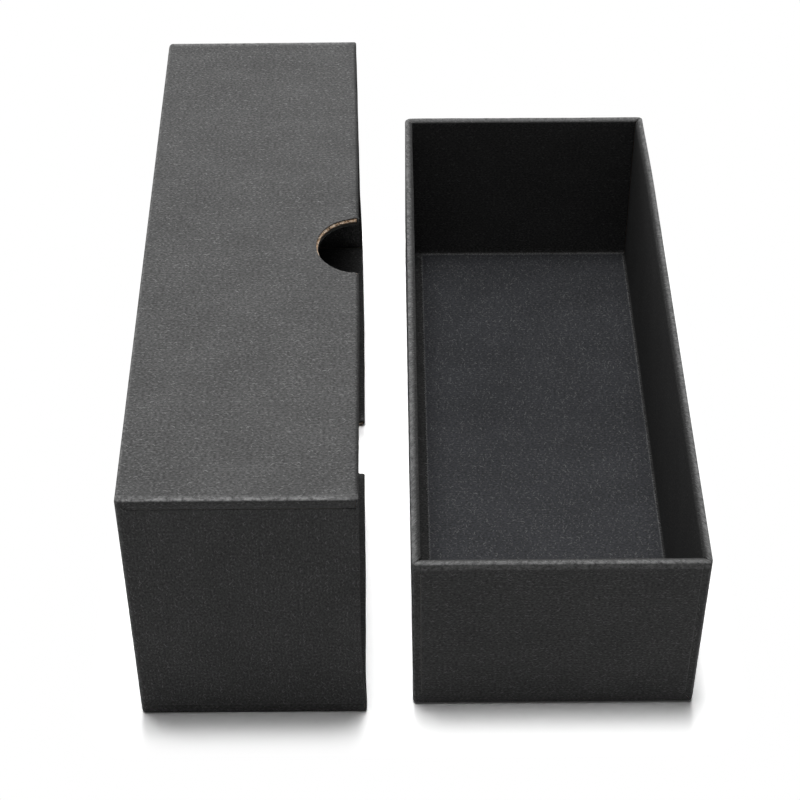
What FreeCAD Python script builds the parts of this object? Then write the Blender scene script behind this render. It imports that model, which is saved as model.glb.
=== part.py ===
import FreeCAD, Part
import os

# Glasses box of wrapped board: a tray, and the deep cover that lifts off it.
# The cover lies on one long wall with its mouth to the right, and the tray stands
# open beside it. Millimetres. +X points to the right, the way the cover's mouth faces,
# +Y runs along both halves, away from the viewer, and +Z is up. The origin is on the
# table, under the middle of the two halves together.

# Outside of the cover, which sets the size of the whole box
cover_length = 165.0
cover_width = 70.0
cover_depth = 50.0

# What the walls are made of, from the outside in: paper, board, paper
board_thickness = 1.5
paper_thickness = 0.25

# How the tray fits into the cover
side_clearance = 0.75
depth_clearance = 0.5

# Half-round thumb notch in the rim of each long wall of the cover
notch_radius = 10.0

# The paper of a long wall goes round the corner by this much, as an ear on the end wall
cover_ear = 2.8
tray_ear = 1.6

# Gummed tape that holds the standing corners of the bare board, pressed into it
stay_thickness = 0.12
stay_leg = 10.0
stay_rim_gap = 3.0

# The lining of each wall turns onto the inner floor by this much, up to the liner's edge
foot_length = 0.5
tray_left_foot_length = 2.6

# Free space on the table between the cover's mouth and the tray
space_between = 11.0

# Sizes that follow from these
floor_top = paper_thickness + board_thickness
wall_thickness = floor_top + paper_thickness
tray_length = cover_length - 2 * wall_thickness - 2 * side_clearance
tray_width = cover_width - 2 * wall_thickness - 2 * side_clearance
tray_depth = cover_depth - wall_thickness - depth_clearance
whole_width = cover_depth + space_between + tray_width

# Each half is drawn standing on its closed panel, centred on X and Y, with its rim up.
# A wall is known by the direction along X or Y in which it faces out. The walls along Y
# are the long ones: they run the full length, and the end walls stand between them.
LONG_SIDES = {"plus_x": 1, "minus_x": -1}
END_SIDES = {"plus_y": 1, "minus_y": -1}

even_feet = {side: foot_length for side in (*LONG_SIDES, *END_SIDES)}

tray = {
    "prefix": "tray_", "length": tray_length, "width": tray_width, "depth": tray_depth,
    "ear": tray_ear, "feet": {**even_feet, "minus_x": tray_left_foot_length},
    "notched": False,
    "names": {"panel": "floor", "plus_x": "right_wall", "minus_x": "left_wall",
              "plus_y": "far_wall", "minus_y": "near_wall"},
}
cover = {
    "prefix": "cover_", "length": cover_length, "width": cover_width, "depth": cover_depth,
    "ear": cover_ear, "feet": even_feet, "notched": True,
    "names": {"panel": "top", "plus_x": "lower_wall", "minus_x": "upper_wall",
              "plus_y": "far_wall", "minus_y": "near_wall"},
}


def block(low, high):
    """A box between two opposite corners, given in any order."""
    start = [min(a, b) for a, b in zip(low, high)]
    size = [abs(a - b) for a, b in zip(low, high)]
    return Part.makeBox(size[0], size[1], size[2], FreeCAD.Vector(*start))


def plate(points, thickness_vector):
    """A flat plate: an outline of corner points, pushed along one vector."""
    corners = [FreeCAD.Vector(*point) for point in points]
    outline = Part.makePolygon(corners + corners[:1])
    return Part.Face(outline).extrude(FreeCAD.Vector(*thickness_vector))


def sheet(half, side, outer_inset, inner_inset, end_inset, bottom):
    """A standing sheet of one wall, between two depths below the wall's outer face."""
    half_width = half["width"] / 2
    half_length = half["length"] / 2
    top = half["depth"] - paper_thickness
    if side in LONG_SIDES:
        sign = LONG_SIDES[side]
        end = half_length - end_inset
        return block((sign * (half_width - outer_inset), -end, bottom),
                     (sign * (half_width - inner_inset), end, top))
    sign = END_SIDES[side]
    end = half_width - end_inset
    return block((-end, sign * (half_length - outer_inset), bottom),
                 (end, sign * (half_length - inner_inset), top))


def floor_sheet(half, edge_inset, bottom, top):
    """A flat sheet over the closed panel, set in from the outer faces of the walls."""
    edge_x = half["width"] / 2 - edge_inset
    edge_y = half["length"] / 2 - edge_inset
    return block((-edge_x, -edge_y, bottom), (edge_x, edge_y, top))


def liner(half):
    """The loose sheet on the inner floor, which ends where the feet of the linings end."""
    inner_x = half["width"] / 2 - wall_thickness
    inner_y = half["length"] / 2 - wall_thickness
    feet = half["feet"]
    return block((-inner_x + feet["minus_x"], -inner_y + feet["minus_y"], floor_top),
                 (inner_x - feet["plus_x"], inner_y - feet["plus_y"], wall_thickness))


def corner_stay(half, sign_x, sign_y):
    """Tape folded round one standing corner, flush with the faces of the board."""
    x = sign_x * (half["width"] / 2 - paper_thickness)
    y = sign_y * (half["length"] / 2 - paper_thickness)
    top = half["depth"] - paper_thickness - stay_rim_gap
    long_leg = block((x, y, floor_top),
                     (x - sign_x * stay_thickness, y - sign_y * stay_leg, top))
    end_leg = block((x, y, floor_top),
                    (x - sign_x * stay_leg, y - sign_y * stay_thickness, top))
    return long_leg.fuse(end_leg).removeSplitter()


def make_stays(half):
    """The four corner tapes by name, such as far_right_corner_stay."""
    stays = {}
    for end_side, sign_y in END_SIDES.items():
        for long_side, sign_x in LONG_SIDES.items():
            end_word = half["names"][end_side].split("_")[0]
            long_word = half["names"][long_side].split("_")[0]
            name = end_word + "_" + long_word + "_corner_stay"
            stays[name] = corner_stay(half, sign_x, sign_y)
    return stays


def make_boards(half, stays):
    """Closed panel and four walls of greyboard, with the hollows of the tape."""
    boards = {"panel": floor_sheet(half, paper_thickness, paper_thickness, floor_top)}
    for side in LONG_SIDES:
        boards[side] = sheet(half, side, paper_thickness, floor_top, paper_thickness, floor_top)
    for side in END_SIDES:
        boards[side] = sheet(half, side, paper_thickness, floor_top, floor_top, floor_top)
    for stay in stays.values():
        for side in (*LONG_SIDES, *END_SIDES):
            boards[side] = boards[side].cut(stay)
    return boards


def end_outline(half, y):
    """Corners of an end wall's paper, which tapers where it clears the two ears."""
    low = paper_thickness
    top = half["depth"] - paper_thickness
    wide = half["width"] / 2 - paper_thickness
    narrow = half["width"] / 2 - half["ear"]
    shoulder = low + wide - narrow
    right = [(wide, y, low), (narrow, y, shoulder), (narrow, y, top)]
    left = [(-x, same_y, z) for x, same_y, z in reversed(right)]
    return right + left


def ear(half, sign_x, sign_y):
    """Flap of a long wall's paper that goes round the corner beside the end paper."""
    y = sign_y * half["length"] / 2
    low = paper_thickness
    top = half["depth"] - paper_thickness
    wide = half["width"] / 2 - paper_thickness
    narrow = half["width"] / 2 - half["ear"]
    points = [(sign_x * wide, y, low), (sign_x * narrow, y, low + wide - narrow),
              (sign_x * narrow, y, top), (sign_x * wide, y, top)]
    return plate(points, (0, -sign_y * paper_thickness, 0))


def make_wraps(half):
    """Outer paper: one sheet under the closed panel, and one up each wall."""
    wraps = {"panel": floor_sheet(half, 0, 0, paper_thickness)}
    for side, sign_x in LONG_SIDES.items():
        flat = sheet(half, side, 0, paper_thickness, 0, paper_thickness)
        ears = [ear(half, sign_x, sign_y) for sign_y in END_SIDES.values()]
        wraps[side] = flat.fuse(ears).removeSplitter()
    for side, sign_y in END_SIDES.items():
        outline = end_outline(half, sign_y * half["length"] / 2)
        wraps[side] = plate(outline, (0, -sign_y * paper_thickness, 0))
    return wraps


def rim_strip(half, side):
    """Paper over the top edge of one wall, cut at 45 degrees at both corners."""
    outer_x = half["width"] / 2
    outer_y = half["length"] / 2
    inner_x = outer_x - wall_thickness
    inner_y = outer_y - wall_thickness
    if side in LONG_SIDES:
        x_sign = LONG_SIDES[side]
        flat = [(x_sign * outer_x, -outer_y), (x_sign * outer_x, outer_y),
                (x_sign * inner_x, inner_y), (x_sign * inner_x, -inner_y)]
    else:
        y_sign = END_SIDES[side]
        flat = [(-outer_x, y_sign * outer_y), (outer_x, y_sign * outer_y),
                (inner_x, y_sign * inner_y), (-inner_x, y_sign * inner_y)]
    points = [(x, y, half["depth"]) for x, y in flat]
    return plate(points, (0, 0, -paper_thickness))


def foot(half, side):
    """The end of one lining, turned onto the inner floor. The end walls' feet run across."""
    inner_x = half["width"] / 2 - wall_thickness
    inner_y = half["length"] / 2 - wall_thickness
    reach = half["feet"][side]
    if side in LONG_SIDES:
        sign = LONG_SIDES[side]
        return block((sign * inner_x, half["feet"]["minus_y"] - inner_y, floor_top),
                     (sign * (inner_x - reach), inner_y - half["feet"]["plus_y"], wall_thickness))
    sign = END_SIDES[side]
    return block((-inner_x, sign * inner_y, floor_top),
                 (inner_x, sign * (inner_y - reach), wall_thickness))


def make_turn_ins(half):
    """Paper that comes over the rim, lines the inside of each wall and ends on the floor."""
    turn_ins = {}
    for side in (*LONG_SIDES, *END_SIDES):
        end_inset = floor_top if side in LONG_SIDES else wall_thickness
        lining = sheet(half, side, floor_top, wall_thickness, end_inset, floor_top)
        turn_ins[side] = lining.fuse([rim_strip(half, side), foot(half, side)]).removeSplitter()
    return turn_ins


def thumb_cutter(half):
    """A round bar across the rim, which cuts the same notch in both long walls."""
    start = FreeCAD.Vector(-half["width"], 0, half["depth"])
    return Part.makeCylinder(notch_radius, 2 * half["width"], start, FreeCAD.Vector(1, 0, 0))


def make_half(half):
    """Every piece of one half by name, standing on its closed panel."""
    stays = make_stays(half)
    pieces = dict(stays)
    layers = {"board": make_boards(half, stays), "wrap": make_wraps(half),
              "turn_in": make_turn_ins(half)}
    for layer, shapes in layers.items():
        for side, shape in shapes.items():
            if half["notched"] and side in LONG_SIDES:
                shape = shape.cut(thumb_cutter(half))
            pieces[half["names"][side] + "_" + layer] = shape
    pieces[half["names"]["panel"] + "_liner"] = liner(half)
    return {half["prefix"] + name: shape for name, shape in pieces.items()}


# The tray stands at the right end of the arrangement.
tray_place = FreeCAD.Placement(
    FreeCAD.Vector(whole_width / 2 - tray_width / 2, 0, 0), FreeCAD.Rotation())

# A quarter turn about Y lays the cover down: its depth then points along +X, and the
# wall that faced +X lies on the table.
cover_place = FreeCAD.Placement(
    FreeCAD.Vector(-whole_width / 2, 0, cover_width / 2),
    FreeCAD.Rotation(FreeCAD.Vector(0, 1, 0), 90))

os.makedirs("parts", exist_ok=True)
for half, place in ((tray, tray_place), (cover, cover_place)):
    for node, shape in make_half(half).items():
        shape.Placement = place.multiply(shape.Placement)
        shape.exportStep("parts/" + node + ".step")
        print(node, len(shape.Solids), round(shape.Volume, 1), shape.isValid())
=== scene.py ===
# %% [markdown]
# # A glasses box of black paper over grey board
#
# The real object is the box that a pair of glasses is sold in. It has two halves, a tray
# and a deep cover, and both are made in the same way: five plates of grey board are taped
# together at the corners, and one sheet of black paper is glued round them, over the rim
# and down the inside. In the photograph the cover is off. It lies on one of its long
# walls, with its mouth towards the tray.
#
# The sizes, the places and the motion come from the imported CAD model. Everything that is
# made here goes round that fixed frame, so nothing has to be fitted by eye.

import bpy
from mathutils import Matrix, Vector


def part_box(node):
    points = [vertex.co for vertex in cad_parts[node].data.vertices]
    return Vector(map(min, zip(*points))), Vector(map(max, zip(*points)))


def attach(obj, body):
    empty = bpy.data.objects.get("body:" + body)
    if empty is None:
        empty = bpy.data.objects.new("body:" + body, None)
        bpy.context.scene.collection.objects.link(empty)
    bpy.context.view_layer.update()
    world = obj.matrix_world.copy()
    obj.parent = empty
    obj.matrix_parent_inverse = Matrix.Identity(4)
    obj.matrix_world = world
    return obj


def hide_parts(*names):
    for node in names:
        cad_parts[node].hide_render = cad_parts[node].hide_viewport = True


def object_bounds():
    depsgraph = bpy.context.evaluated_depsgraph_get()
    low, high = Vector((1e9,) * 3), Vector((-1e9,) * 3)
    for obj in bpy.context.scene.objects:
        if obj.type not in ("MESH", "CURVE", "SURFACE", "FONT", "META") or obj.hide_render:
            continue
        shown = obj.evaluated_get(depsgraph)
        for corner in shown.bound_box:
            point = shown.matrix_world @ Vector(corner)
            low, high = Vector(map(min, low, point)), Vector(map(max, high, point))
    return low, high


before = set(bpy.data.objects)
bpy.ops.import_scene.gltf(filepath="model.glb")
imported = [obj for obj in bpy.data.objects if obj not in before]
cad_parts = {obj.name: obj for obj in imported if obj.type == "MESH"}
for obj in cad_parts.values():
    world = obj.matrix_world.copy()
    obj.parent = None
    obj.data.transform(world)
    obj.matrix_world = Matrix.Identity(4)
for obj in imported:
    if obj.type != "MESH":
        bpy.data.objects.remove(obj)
cad_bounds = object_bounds()
print("CAD box in metres", [tuple(round(x, 4) for x in corner) for corner in cad_bounds])

# %% [markdown]
# ## Sizes
#
# Thin paper is easier to think about in millimetres, so every helper below works in
# millimetres and only the last step turns them into metres. The sizes of the two halves
# are read from the frame instead of being written again, so they can't drift apart.

# %% Read the sizes of the paper and the board
import math

import bmesh
import bpy
import numpy as np
from mathutils import Matrix, Vector

MILLIMETRE = 0.001


def size_mm(node):
    """How large a CAD node is along X, Y and Z, in millimetres."""
    low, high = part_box(node)
    return (high - low) / MILLIMETRE


paper = size_mm("tray_floor_wrap").z
board = size_mm("tray_floor_board").z
wall = 2 * paper + board
print("paper", round(paper, 3), "board", round(board, 3), "whole wall", round(wall, 3))

# %% [markdown]
# Each half is drawn standing on its closed panel, centred, with its rim up. That is how
# it stands on the bench when it is wrapped, and it lets one set of helpers serve both
# halves. A matrix then puts the half where the CAD model has it: the tray only moves,
# and the cover also turns a quarter turn about Y, onto its long wall.

# %% Describe the two halves
class Half:
    """One half of the box, in its own frame: X across, Y along and Z up to the rim."""

    def __init__(self, name, width, length, depth, place):
        self.name = name
        self.width = width
        self.length = length
        self.depth = depth
        self.place = place @ Matrix.Scale(MILLIMETRE, 4)

    def local_box(self, node):
        """Lowest and highest corner of a CAD node, in this half's own frame."""
        back = self.place.inverted()
        corners = np.array([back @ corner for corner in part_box(node)])
        return corners.min(0), corners.max(0)


tray_panel = size_mm("tray_floor_wrap")
tray_low, tray_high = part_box("tray_floor_wrap")
tray_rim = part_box("tray_left_wall_turn_in")[1].z
tray_middle = Vector(((tray_low.x + tray_high.x) / 2, 0, 0))
tray = Half("tray", tray_panel.x, tray_panel.y, tray_rim / MILLIMETRE,
            Matrix.Translation(tray_middle))

cover_panel = size_mm("cover_top_wrap")
cover_low, cover_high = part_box("cover_top_wrap")
cover_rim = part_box("cover_upper_wall_turn_in")[1].x
cover_foot = Vector((cover_low.x, 0, (cover_low.z + cover_high.z) / 2))
cover = Half("cover", cover_panel.z, cover_panel.y, (cover_rim - cover_low.x) / MILLIMETRE,
             Matrix.Translation(cover_foot) @ Matrix.Rotation(math.radians(90), 4, "Y"))
for half in (tray, cover):
    print(half.name, round(half.width, 2), round(half.length, 2), round(half.depth, 2))

# %% [markdown]
# ## Small helpers for node trees
#
# A material or a modifier is a tree of nodes joined by links. A few helpers keep the trees
# short to write. One adds a node and fills in its sockets, each with a plain value or with
# the output of another node. A Wire is such an output that knows plain arithmetic, so that
# a long row of Math nodes can be written as a formula.

# %% Helpers to build node trees
FLOAT, VECTOR, FACES = "NodeSocketFloat", "NodeSocketVector", "NodeSocketGeometry"


class Wire:
    """The output of a node. Arithmetic on it adds Math nodes to the tree."""

    def __init__(self, socket):
        self.socket = socket

    def calc(self, operation, *others, clamp=False):
        return math_node(self.socket.id_data, operation, self, *others, clamp=clamp)

    def __add__(self, other):
        return self.calc("ADD", other)

    def __sub__(self, other):
        return self.calc("SUBTRACT", other)

    def __mul__(self, other):
        return self.calc("MULTIPLY", other)

    def __truediv__(self, other):
        return self.calc("DIVIDE", other)

    def __rsub__(self, other):
        return math_node(self.socket.id_data, "SUBTRACT", other, self)

    def __rtruediv__(self, other):
        return math_node(self.socket.id_data, "DIVIDE", other, self)


def connect(value, socket):
    """Links an output to an input of the same tree."""
    socket.id_data.links.new(value.socket if isinstance(value, Wire) else value, socket)


def add_node(tree, kind, settings=None, **sockets):
    """Adds a node. settings are its own properties, sockets are values or outputs to link."""
    node = tree.nodes.new(kind)
    for name, value in (settings or {}).items():
        setattr(node, name, value)
    for name, value in sockets.items():
        socket = node.inputs[int(name[1:]) if name[0] == "_" else name.replace("_", " ")]
        if isinstance(value, (Wire, bpy.types.NodeSocket)):
            connect(value, socket)
        else:
            socket.default_value = value
    return node


def numbered(values):
    """Values for the first, second and later sockets of a node."""
    return {f"_{number}": value for number, value in enumerate(values)}


def math_node(tree, operation, *values, clamp=False):
    settings = {"operation": operation, "use_clamp": clamp}
    return Wire(add_node(tree, "ShaderNodeMath", settings, **numbered(values)).outputs[0])


def vector_math(tree, operation, *values, **more):
    settings = {"operation": operation}
    node = add_node(tree, "ShaderNodeVectorMath", settings, **numbered(values), **more)
    return node.outputs[0]


def join_vector(tree, x, y, z):
    return add_node(tree, "ShaderNodeCombineXYZ", _0=x, _1=y, _2=z).outputs[0]


def parts(node):
    """All outputs of a node, ready for arithmetic."""
    return [Wire(output) for output in node.outputs]


def split_vector(tree, vector):
    """The X, Y and Z of a vector, as three wires."""
    return parts(add_node(tree, "ShaderNodeSeparateXYZ", Vector=vector))


def ramp(tree, value, low, high, **more):
    """0 where a value is low, 1 where it is high, and between them in between."""
    node = add_node(tree, "ShaderNodeMapRange", Value=value, From_Min=low, From_Max=high, **more)
    return Wire(node.outputs["Result"])


def noise(tree, place, scale, detail, roughness=0.5, dimensions="3D"):
    """A value around 0.5 that wanders from place to place."""
    node = add_node(tree, "ShaderNodeTexNoise", {"noise_dimensions": dimensions}, Vector=place,
                    Scale=scale, Detail=detail, Roughness=roughness)
    return Wire(node.outputs[0])


print("kinds of sockets", FLOAT, VECTOR, FACES)

# %% [markdown]
# A node group is a tree with named inputs and outputs. The first helper here makes an empty
# one, and hands its inputs back as wires, each under its name. The second puts any new
# object into the scene.

# %% Helpers to make groups and objects
def new_group(name, kind, inputs, outputs):
    """An empty node group, its named inputs as wires, and the node of its outputs."""
    group = bpy.data.node_groups.new(name, kind)
    for socket_name, socket_kind, default in inputs:
        socket = group.interface.new_socket(socket_name, in_out="INPUT", socket_type=socket_kind)
        if default is not None:
            socket.default_value = default
    for socket_name, socket_kind in outputs:
        group.interface.new_socket(socket_name, in_out="OUTPUT", socket_type=socket_kind)
    given = group.nodes.new("NodeGroupInput")
    value = {row[0]: Wire(given.outputs[row[0]]) for row in inputs}
    return group, value, group.nodes.new("NodeGroupOutput")


def put_in_scene(name, data):
    """A new object in the scene, at the origin."""
    thing = bpy.data.objects.new(name, data)
    bpy.context.scene.collection.objects.link(thing)
    return thing


# %% [markdown]
# ## The camera
#
# The photograph looks down at the box by a little under 44 degrees, from close by, with a
# long lens. The lens and the place were worked out from where the corners of the CAD
# model have to land in an image of 800 by 800 pixels.

# %% Set up the camera
camera_tilt = 46.213
camera_turn = -0.546
camera_data = bpy.data.cameras.new("photo_camera")
camera_data.sensor_width = 36.0
camera_data.lens = 94.58
camera = put_in_scene("photo_camera", camera_data)
camera.location = (-0.00689, -0.37851, 0.38221)
camera.rotation_euler = (math.radians(camera_tilt), 0, math.radians(camera_turn))
bpy.context.scene.camera = camera
print("camera looks down by", round(90 - camera_tilt, 3), "degrees")

# %% [markdown]
# ## The light
#
# The box stands in a white light tent. The brightest part is right above it, the sides
# glow a little less, and the side of the camera is nearly dark. That is why the top of
# the cover is four times as bright as the walls that face us. Area lamps stand in for
# the walls of the tent, because each can be set by itself.

# %% Hang the lamps round the box
def softbox(name, location, aim, size, strength):
    """A square area lamp at one place that shines at another. Strength is in watts."""
    data = bpy.data.lights.new(name, "AREA")
    data.shape = "RECTANGLE"
    data.size, data.size_y = size
    data.energy = strength
    lamp = put_in_scene(name, data)
    lamp.location = location
    lamp.rotation_euler = (Vector(aim) - Vector(location)).to_track_quat("-Z", "Y").to_euler()


above_box = (0, 0, 0.03)
softbox("tent_zenith", (-0.07, 0.11, 1.6), above_box, (0.45, 0.42), 20.5)
softbox("tent_roof", (0, 0.64, 1.52), above_box, (0.5, 0.64), 6.0)
softbox("tent_back", (0, 2.9, 0.98), above_box, (0.8, 1.7), 74.0)
softbox("tent_front", (0, -1.44, 0.72), above_box, (1.2, 0.96), 0.8)

# %% [markdown]
# What the camera sees behind the box is plain white. Light Path tells the world which
# rays come straight from the camera, or through a reflection, and only those see white.
# All other rays see the dim light that the rest of the room gives.

# %% Give the world its two values
room_light = 0.02


def mirrored(tree, rays):
    """1 for a ray that was reflected, or that went through glass."""
    return math_node(tree, "MAXIMUM", rays.outputs["Is Glossy Ray"],
                     rays.outputs["Is Transmission Ray"])


def light_world():
    world = bpy.data.worlds.new("light_tent")
    world.use_nodes = True
    tree = world.node_tree
    tree.nodes.clear()
    rays = add_node(tree, "ShaderNodeLightPath")
    seen = math_node(tree, "MAXIMUM", rays.outputs["Is Camera Ray"], mirrored(tree, rays))
    dim, white = (add_node(tree, "ShaderNodeBackground", Color=(1, 1, 1, 1), Strength=strength)
                  for strength in (room_light, 1.0))
    mix = add_node(tree, "ShaderNodeMixShader", _0=seen, _1=dim.outputs[0], _2=white.outputs[0])
    add_node(tree, "ShaderNodeOutputWorld", Surface=mix.outputs[0])
    return world


bpy.context.scene.world = light_world()
bpy.context.scene.view_settings.view_transform = "Standard"
print("world strength for light", room_light)

# %% [markdown]
# ## The floor
#
# The floor is a sheet of white paper. Near the box it is a plain matt surface, so that it
# takes the soft shadow and throws light back onto the walls. In the photograph it is so
# bright that it turns into pure white a centimetre away, and the camera sees that white
# here too, as a ring that fades in round the box. The ring is only for camera rays and
# reflections, so no extra light reaches the box.
#
# The photograph was exposed for the black box, so the lit paper looks brighter to the
# camera than it is to the box. It has one colour for each: a bright one for the camera,
# and a duller one for the light that it throws onto the walls, which stay dark.

# %% Make the floor material
camera_glow = (0.002, 0.013)
mirror_glow = (0.08, 0.20)
floor_for_light = (0.56, 0.56, 0.56, 1)
floor_for_camera = (1.6, 1.6, 1.6, 1)


def tint(tree, mask, base, light, blend="MIX"):
    """Mixes two colours by a mask. A colour may be the output of another node."""
    mix = add_node(tree, "ShaderNodeMix", {"data_type": "RGBA", "blend_type": blend},
                   _0=mask, _6=base, _7=light)
    return mix.outputs[2]


def make_floor_material():
    material = bpy.data.materials.new("white_floor")
    material.use_nodes = True
    tree = material.node_tree
    tree.nodes.clear()
    place = add_node(tree, "ShaderNodeTexCoord").outputs["Object"]
    footprint = (cad_bounds[1][0], cad_bounds[1][1], 1.0)
    past_box = vector_math(tree, "SUBTRACT", vector_math(tree, "ABSOLUTE", place), footprint)
    outside = vector_math(tree, "MAXIMUM", past_box, (0, 0, 0))
    away = add_node(tree, "ShaderNodeVectorMath", {"operation": "LENGTH"}, _0=outside)
    rays = add_node(tree, "ShaderNodeLightPath")
    to_camera = Wire(rays.outputs["Is Camera Ray"])
    masks = []
    for seen, (start, full) in ((to_camera, camera_glow), (mirrored(tree, rays), mirror_glow)):
        glow = add_node(tree, "ShaderNodeMapRange", {"interpolation_type": "SMOOTHSTEP"},
                        Value=away.outputs["Value"], From_Min=start, From_Max=full)
        masks.append(seen * Wire(glow.outputs["Result"]))
    matt = add_node(tree, "ShaderNodeBsdfDiffuse",
                    Color=tint(tree, to_camera, floor_for_light, floor_for_camera))
    white = add_node(tree, "ShaderNodeEmission", Color=(1, 1, 1, 1), Strength=1.0)
    mix = add_node(tree, "ShaderNodeMixShader", _0=math_node(tree, "MAXIMUM", *masks),
                   _1=matt.outputs[0], _2=white.outputs[0])
    add_node(tree, "ShaderNodeOutputMaterial", Surface=mix.outputs[0])
    return material

# %% Lay the floor
floor_reach = 6.0
floor_mesh = bpy.data.meshes.new("floor_sheet")
corners = ((-1, -1), (1, -1), (1, 1), (-1, 1))
floor_mesh.from_pydata([(floor_reach * x, floor_reach * y, 0) for x, y in corners],
                       [], [(0, 1, 2, 3)])
floor_mesh.materials.append(make_floor_material())
floor = put_in_scene("floor_sheet", floor_mesh)
print("floor", floor.dimensions[:2])

# %% [markdown]
# ## Shader groups for paper
#
# Black kraft paper isn't evenly black. Short pale fibres lie in its surface, most of them
# along the grain of the sheet, and in between the dye is a little cloudy. Both effects are
# used by more than one material here, so each is a node group with named inputs.
#
# The fibre group cuts the sheet into cells with a Voronoi texture and draws one short
# stroke in every cell, turned by an angle that the cell's own random colour gives.
# Stretched noise would be simpler, but it gives long smears, not separate fibres.

# %% Build the fibre group
def build_fibre_group():
    group, value, result = new_group(
        "paper_fibres", "ShaderNodeTree",
        [("Place", VECTOR, None), ("Cell", FLOAT, 2.0), ("Length", FLOAT, 0.8),
         ("Width", FLOAT, 0.1), ("Spread", FLOAT, 1.0), ("Share", FLOAT, 0.5),
         ("Shift", FLOAT, 0.0)],
        [("Mask", FLOAT)])
    moved = vector_math(group, "ADD", value["Place"], value["Shift"])
    cell = vector_math(group, "SCALE", moved, Scale=1.0 / value["Cell"])
    voronoi = add_node(group, "ShaderNodeTexVoronoi", {"voronoi_dimensions": "2D"},
                       Vector=cell, Scale=1.0)
    turn_chance, draw_chance, faint_chance = parts(
        add_node(group, "ShaderNodeSeparateColor", Color=voronoi.outputs["Color"]))
    turned = add_node(group, "ShaderNodeVectorRotate", {"rotation_type": "Z_AXIS"},
                      Vector=vector_math(group, "SUBTRACT", cell, voronoi.outputs["Position"]),
                      Angle=(turn_chance - 0.5) * value["Spread"])
    x, y, z = split_vector(group, turned.outputs[0])
    along = x / (value["Length"] / value["Cell"])
    across = y + along * along * 0.12
    near_line = across.calc("ABSOLUTE") / (value["Width"] / value["Cell"])
    on_line = math_node(group, "SUBTRACT", 1.0, near_line, clamp=True)
    on_length = (1.0 - along.calc("ABSOLUTE")).calc("MULTIPLY", 3.0, clamp=True)
    drawn = draw_chance.calc("LESS_THAN", value["Share"])
    connect(on_line * on_length * drawn * (faint_chance * 0.7 + 0.3), result.inputs["Mask"])
    return group


fibre_group = build_fibre_group()
print(fibre_group.name, [socket.name for socket in fibre_group.interface.items_tree])

# %% [markdown]
# The second group is the cloudiness of the sheet, with a fine grain on top of it, both
# drawn out a little along the grain. The third lightens the folds, partly as edge wear and
# partly as a painted highlight. Every folded piece carries a number called fold in its
# mesh, which is 0 on the flat and rises to 1 on the crest of a fold, and the group breaks
# that number up with noise, because handling rubs a fold in patches and never in an even
# line.

# %% Build the cloud group, and the group of wear and painted highlight
def build_cloud_group():
    group, value, result = new_group(
        "sheet_clouds", "ShaderNodeTree",
        [("Place", VECTOR, None), ("Cloud Size", FLOAT, 12.0), ("Grain Size", FLOAT, 0.6),
         ("Stretch", FLOAT, 2.0)],
        [("Clouds", FLOAT), ("Grain", FLOAT)])
    squeeze = join_vector(group, 1.0 / value["Stretch"], 1.0, 1.0)
    drawn_out = vector_math(group, "MULTIPLY", value["Place"], squeeze)
    for output, size, detail in (("Clouds", "Cloud Size", 3.0), ("Grain", "Grain Size", 2.0)):
        waves = noise(group, drawn_out, 1.0 / value[size], detail, 0.55, "2D")
        connect(waves, result.inputs[output])
    return group


def build_wear_and_highlight_group():
    group, value, result = new_group(
        "edge_wear", "ShaderNodeTree",
        [("Place", VECTOR, None), ("Fold", FLOAT, 0.0), ("Patch Size", FLOAT, 3.0),
         ("Amount", FLOAT, 0.5)],
        [("Wear", FLOAT)])
    patches = noise(group, value["Place"], 1.0 / value["Patch Size"], 4.0, 0.7, "2D")
    rubbed_and_highlit = value["Fold"] * ramp(group, patches, 0.35, 0.65)
    connect(rubbed_and_highlit.calc("MULTIPLY", value["Amount"], clamp=True), result.inputs["Wear"])
    return group


cloud_group = build_cloud_group()
wear_and_highlight_group = build_wear_and_highlight_group()
print("groups", [group.name for group in (fibre_group, cloud_group, wear_and_highlight_group)])

# %% [markdown]
# ## The black paper
#
# The paper is dyed black right through, so its colour is a dark neutral grey, and it is
# matt with a faint sheen. The pattern has to follow the folded sheet, so the material
# reads the piece's UV map, which holds every point's place on the sheet while it was still
# flat. The fibres then run over the folds, as on real paper.
#
# Two sizes of fibre are laid over each other. They lighten the colour a little, and they
# also lift the surface in the bump, together with the grain. A second number in the mesh,
# the painted shade, is 1 where the paper lines the inside. The lining is much darker than
# the lamps alone would make it, so the material darkens the paper by that number, as
# painted shade.

# %% Make the paper material
def new_material(name):
    """A material, its tree, and the shader in it."""
    material = bpy.data.materials.new(name)
    material.use_nodes = True
    return material, material.node_tree, material.node_tree.nodes["Principled BSDF"]


def add_bump(tree, shader, height, strength, distance):
    """Lifts the surface by a height, as far as a distance in metres."""
    bump = add_node(tree, "ShaderNodeBump", Height=height, Strength=strength, Distance=distance)
    connect(bump.outputs[0], shader.inputs["Normal"])


def group_node(tree, group, **sockets):
    """One use of a shader group, with its own values, as its outputs."""
    return parts(add_node(tree, "ShaderNodeGroup", {"node_tree": group}, **sockets))


def mesh_number(tree, name):
    """A number that the mesh holds for each of its points."""
    return Wire(add_node(tree, "ShaderNodeAttribute", {"attribute_name": name}).outputs["Fac"])


def shaded(colour, factor):
    """The same colour, lighter or darker."""
    return [channel * factor for channel in colour[:3]] + [1]


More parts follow.
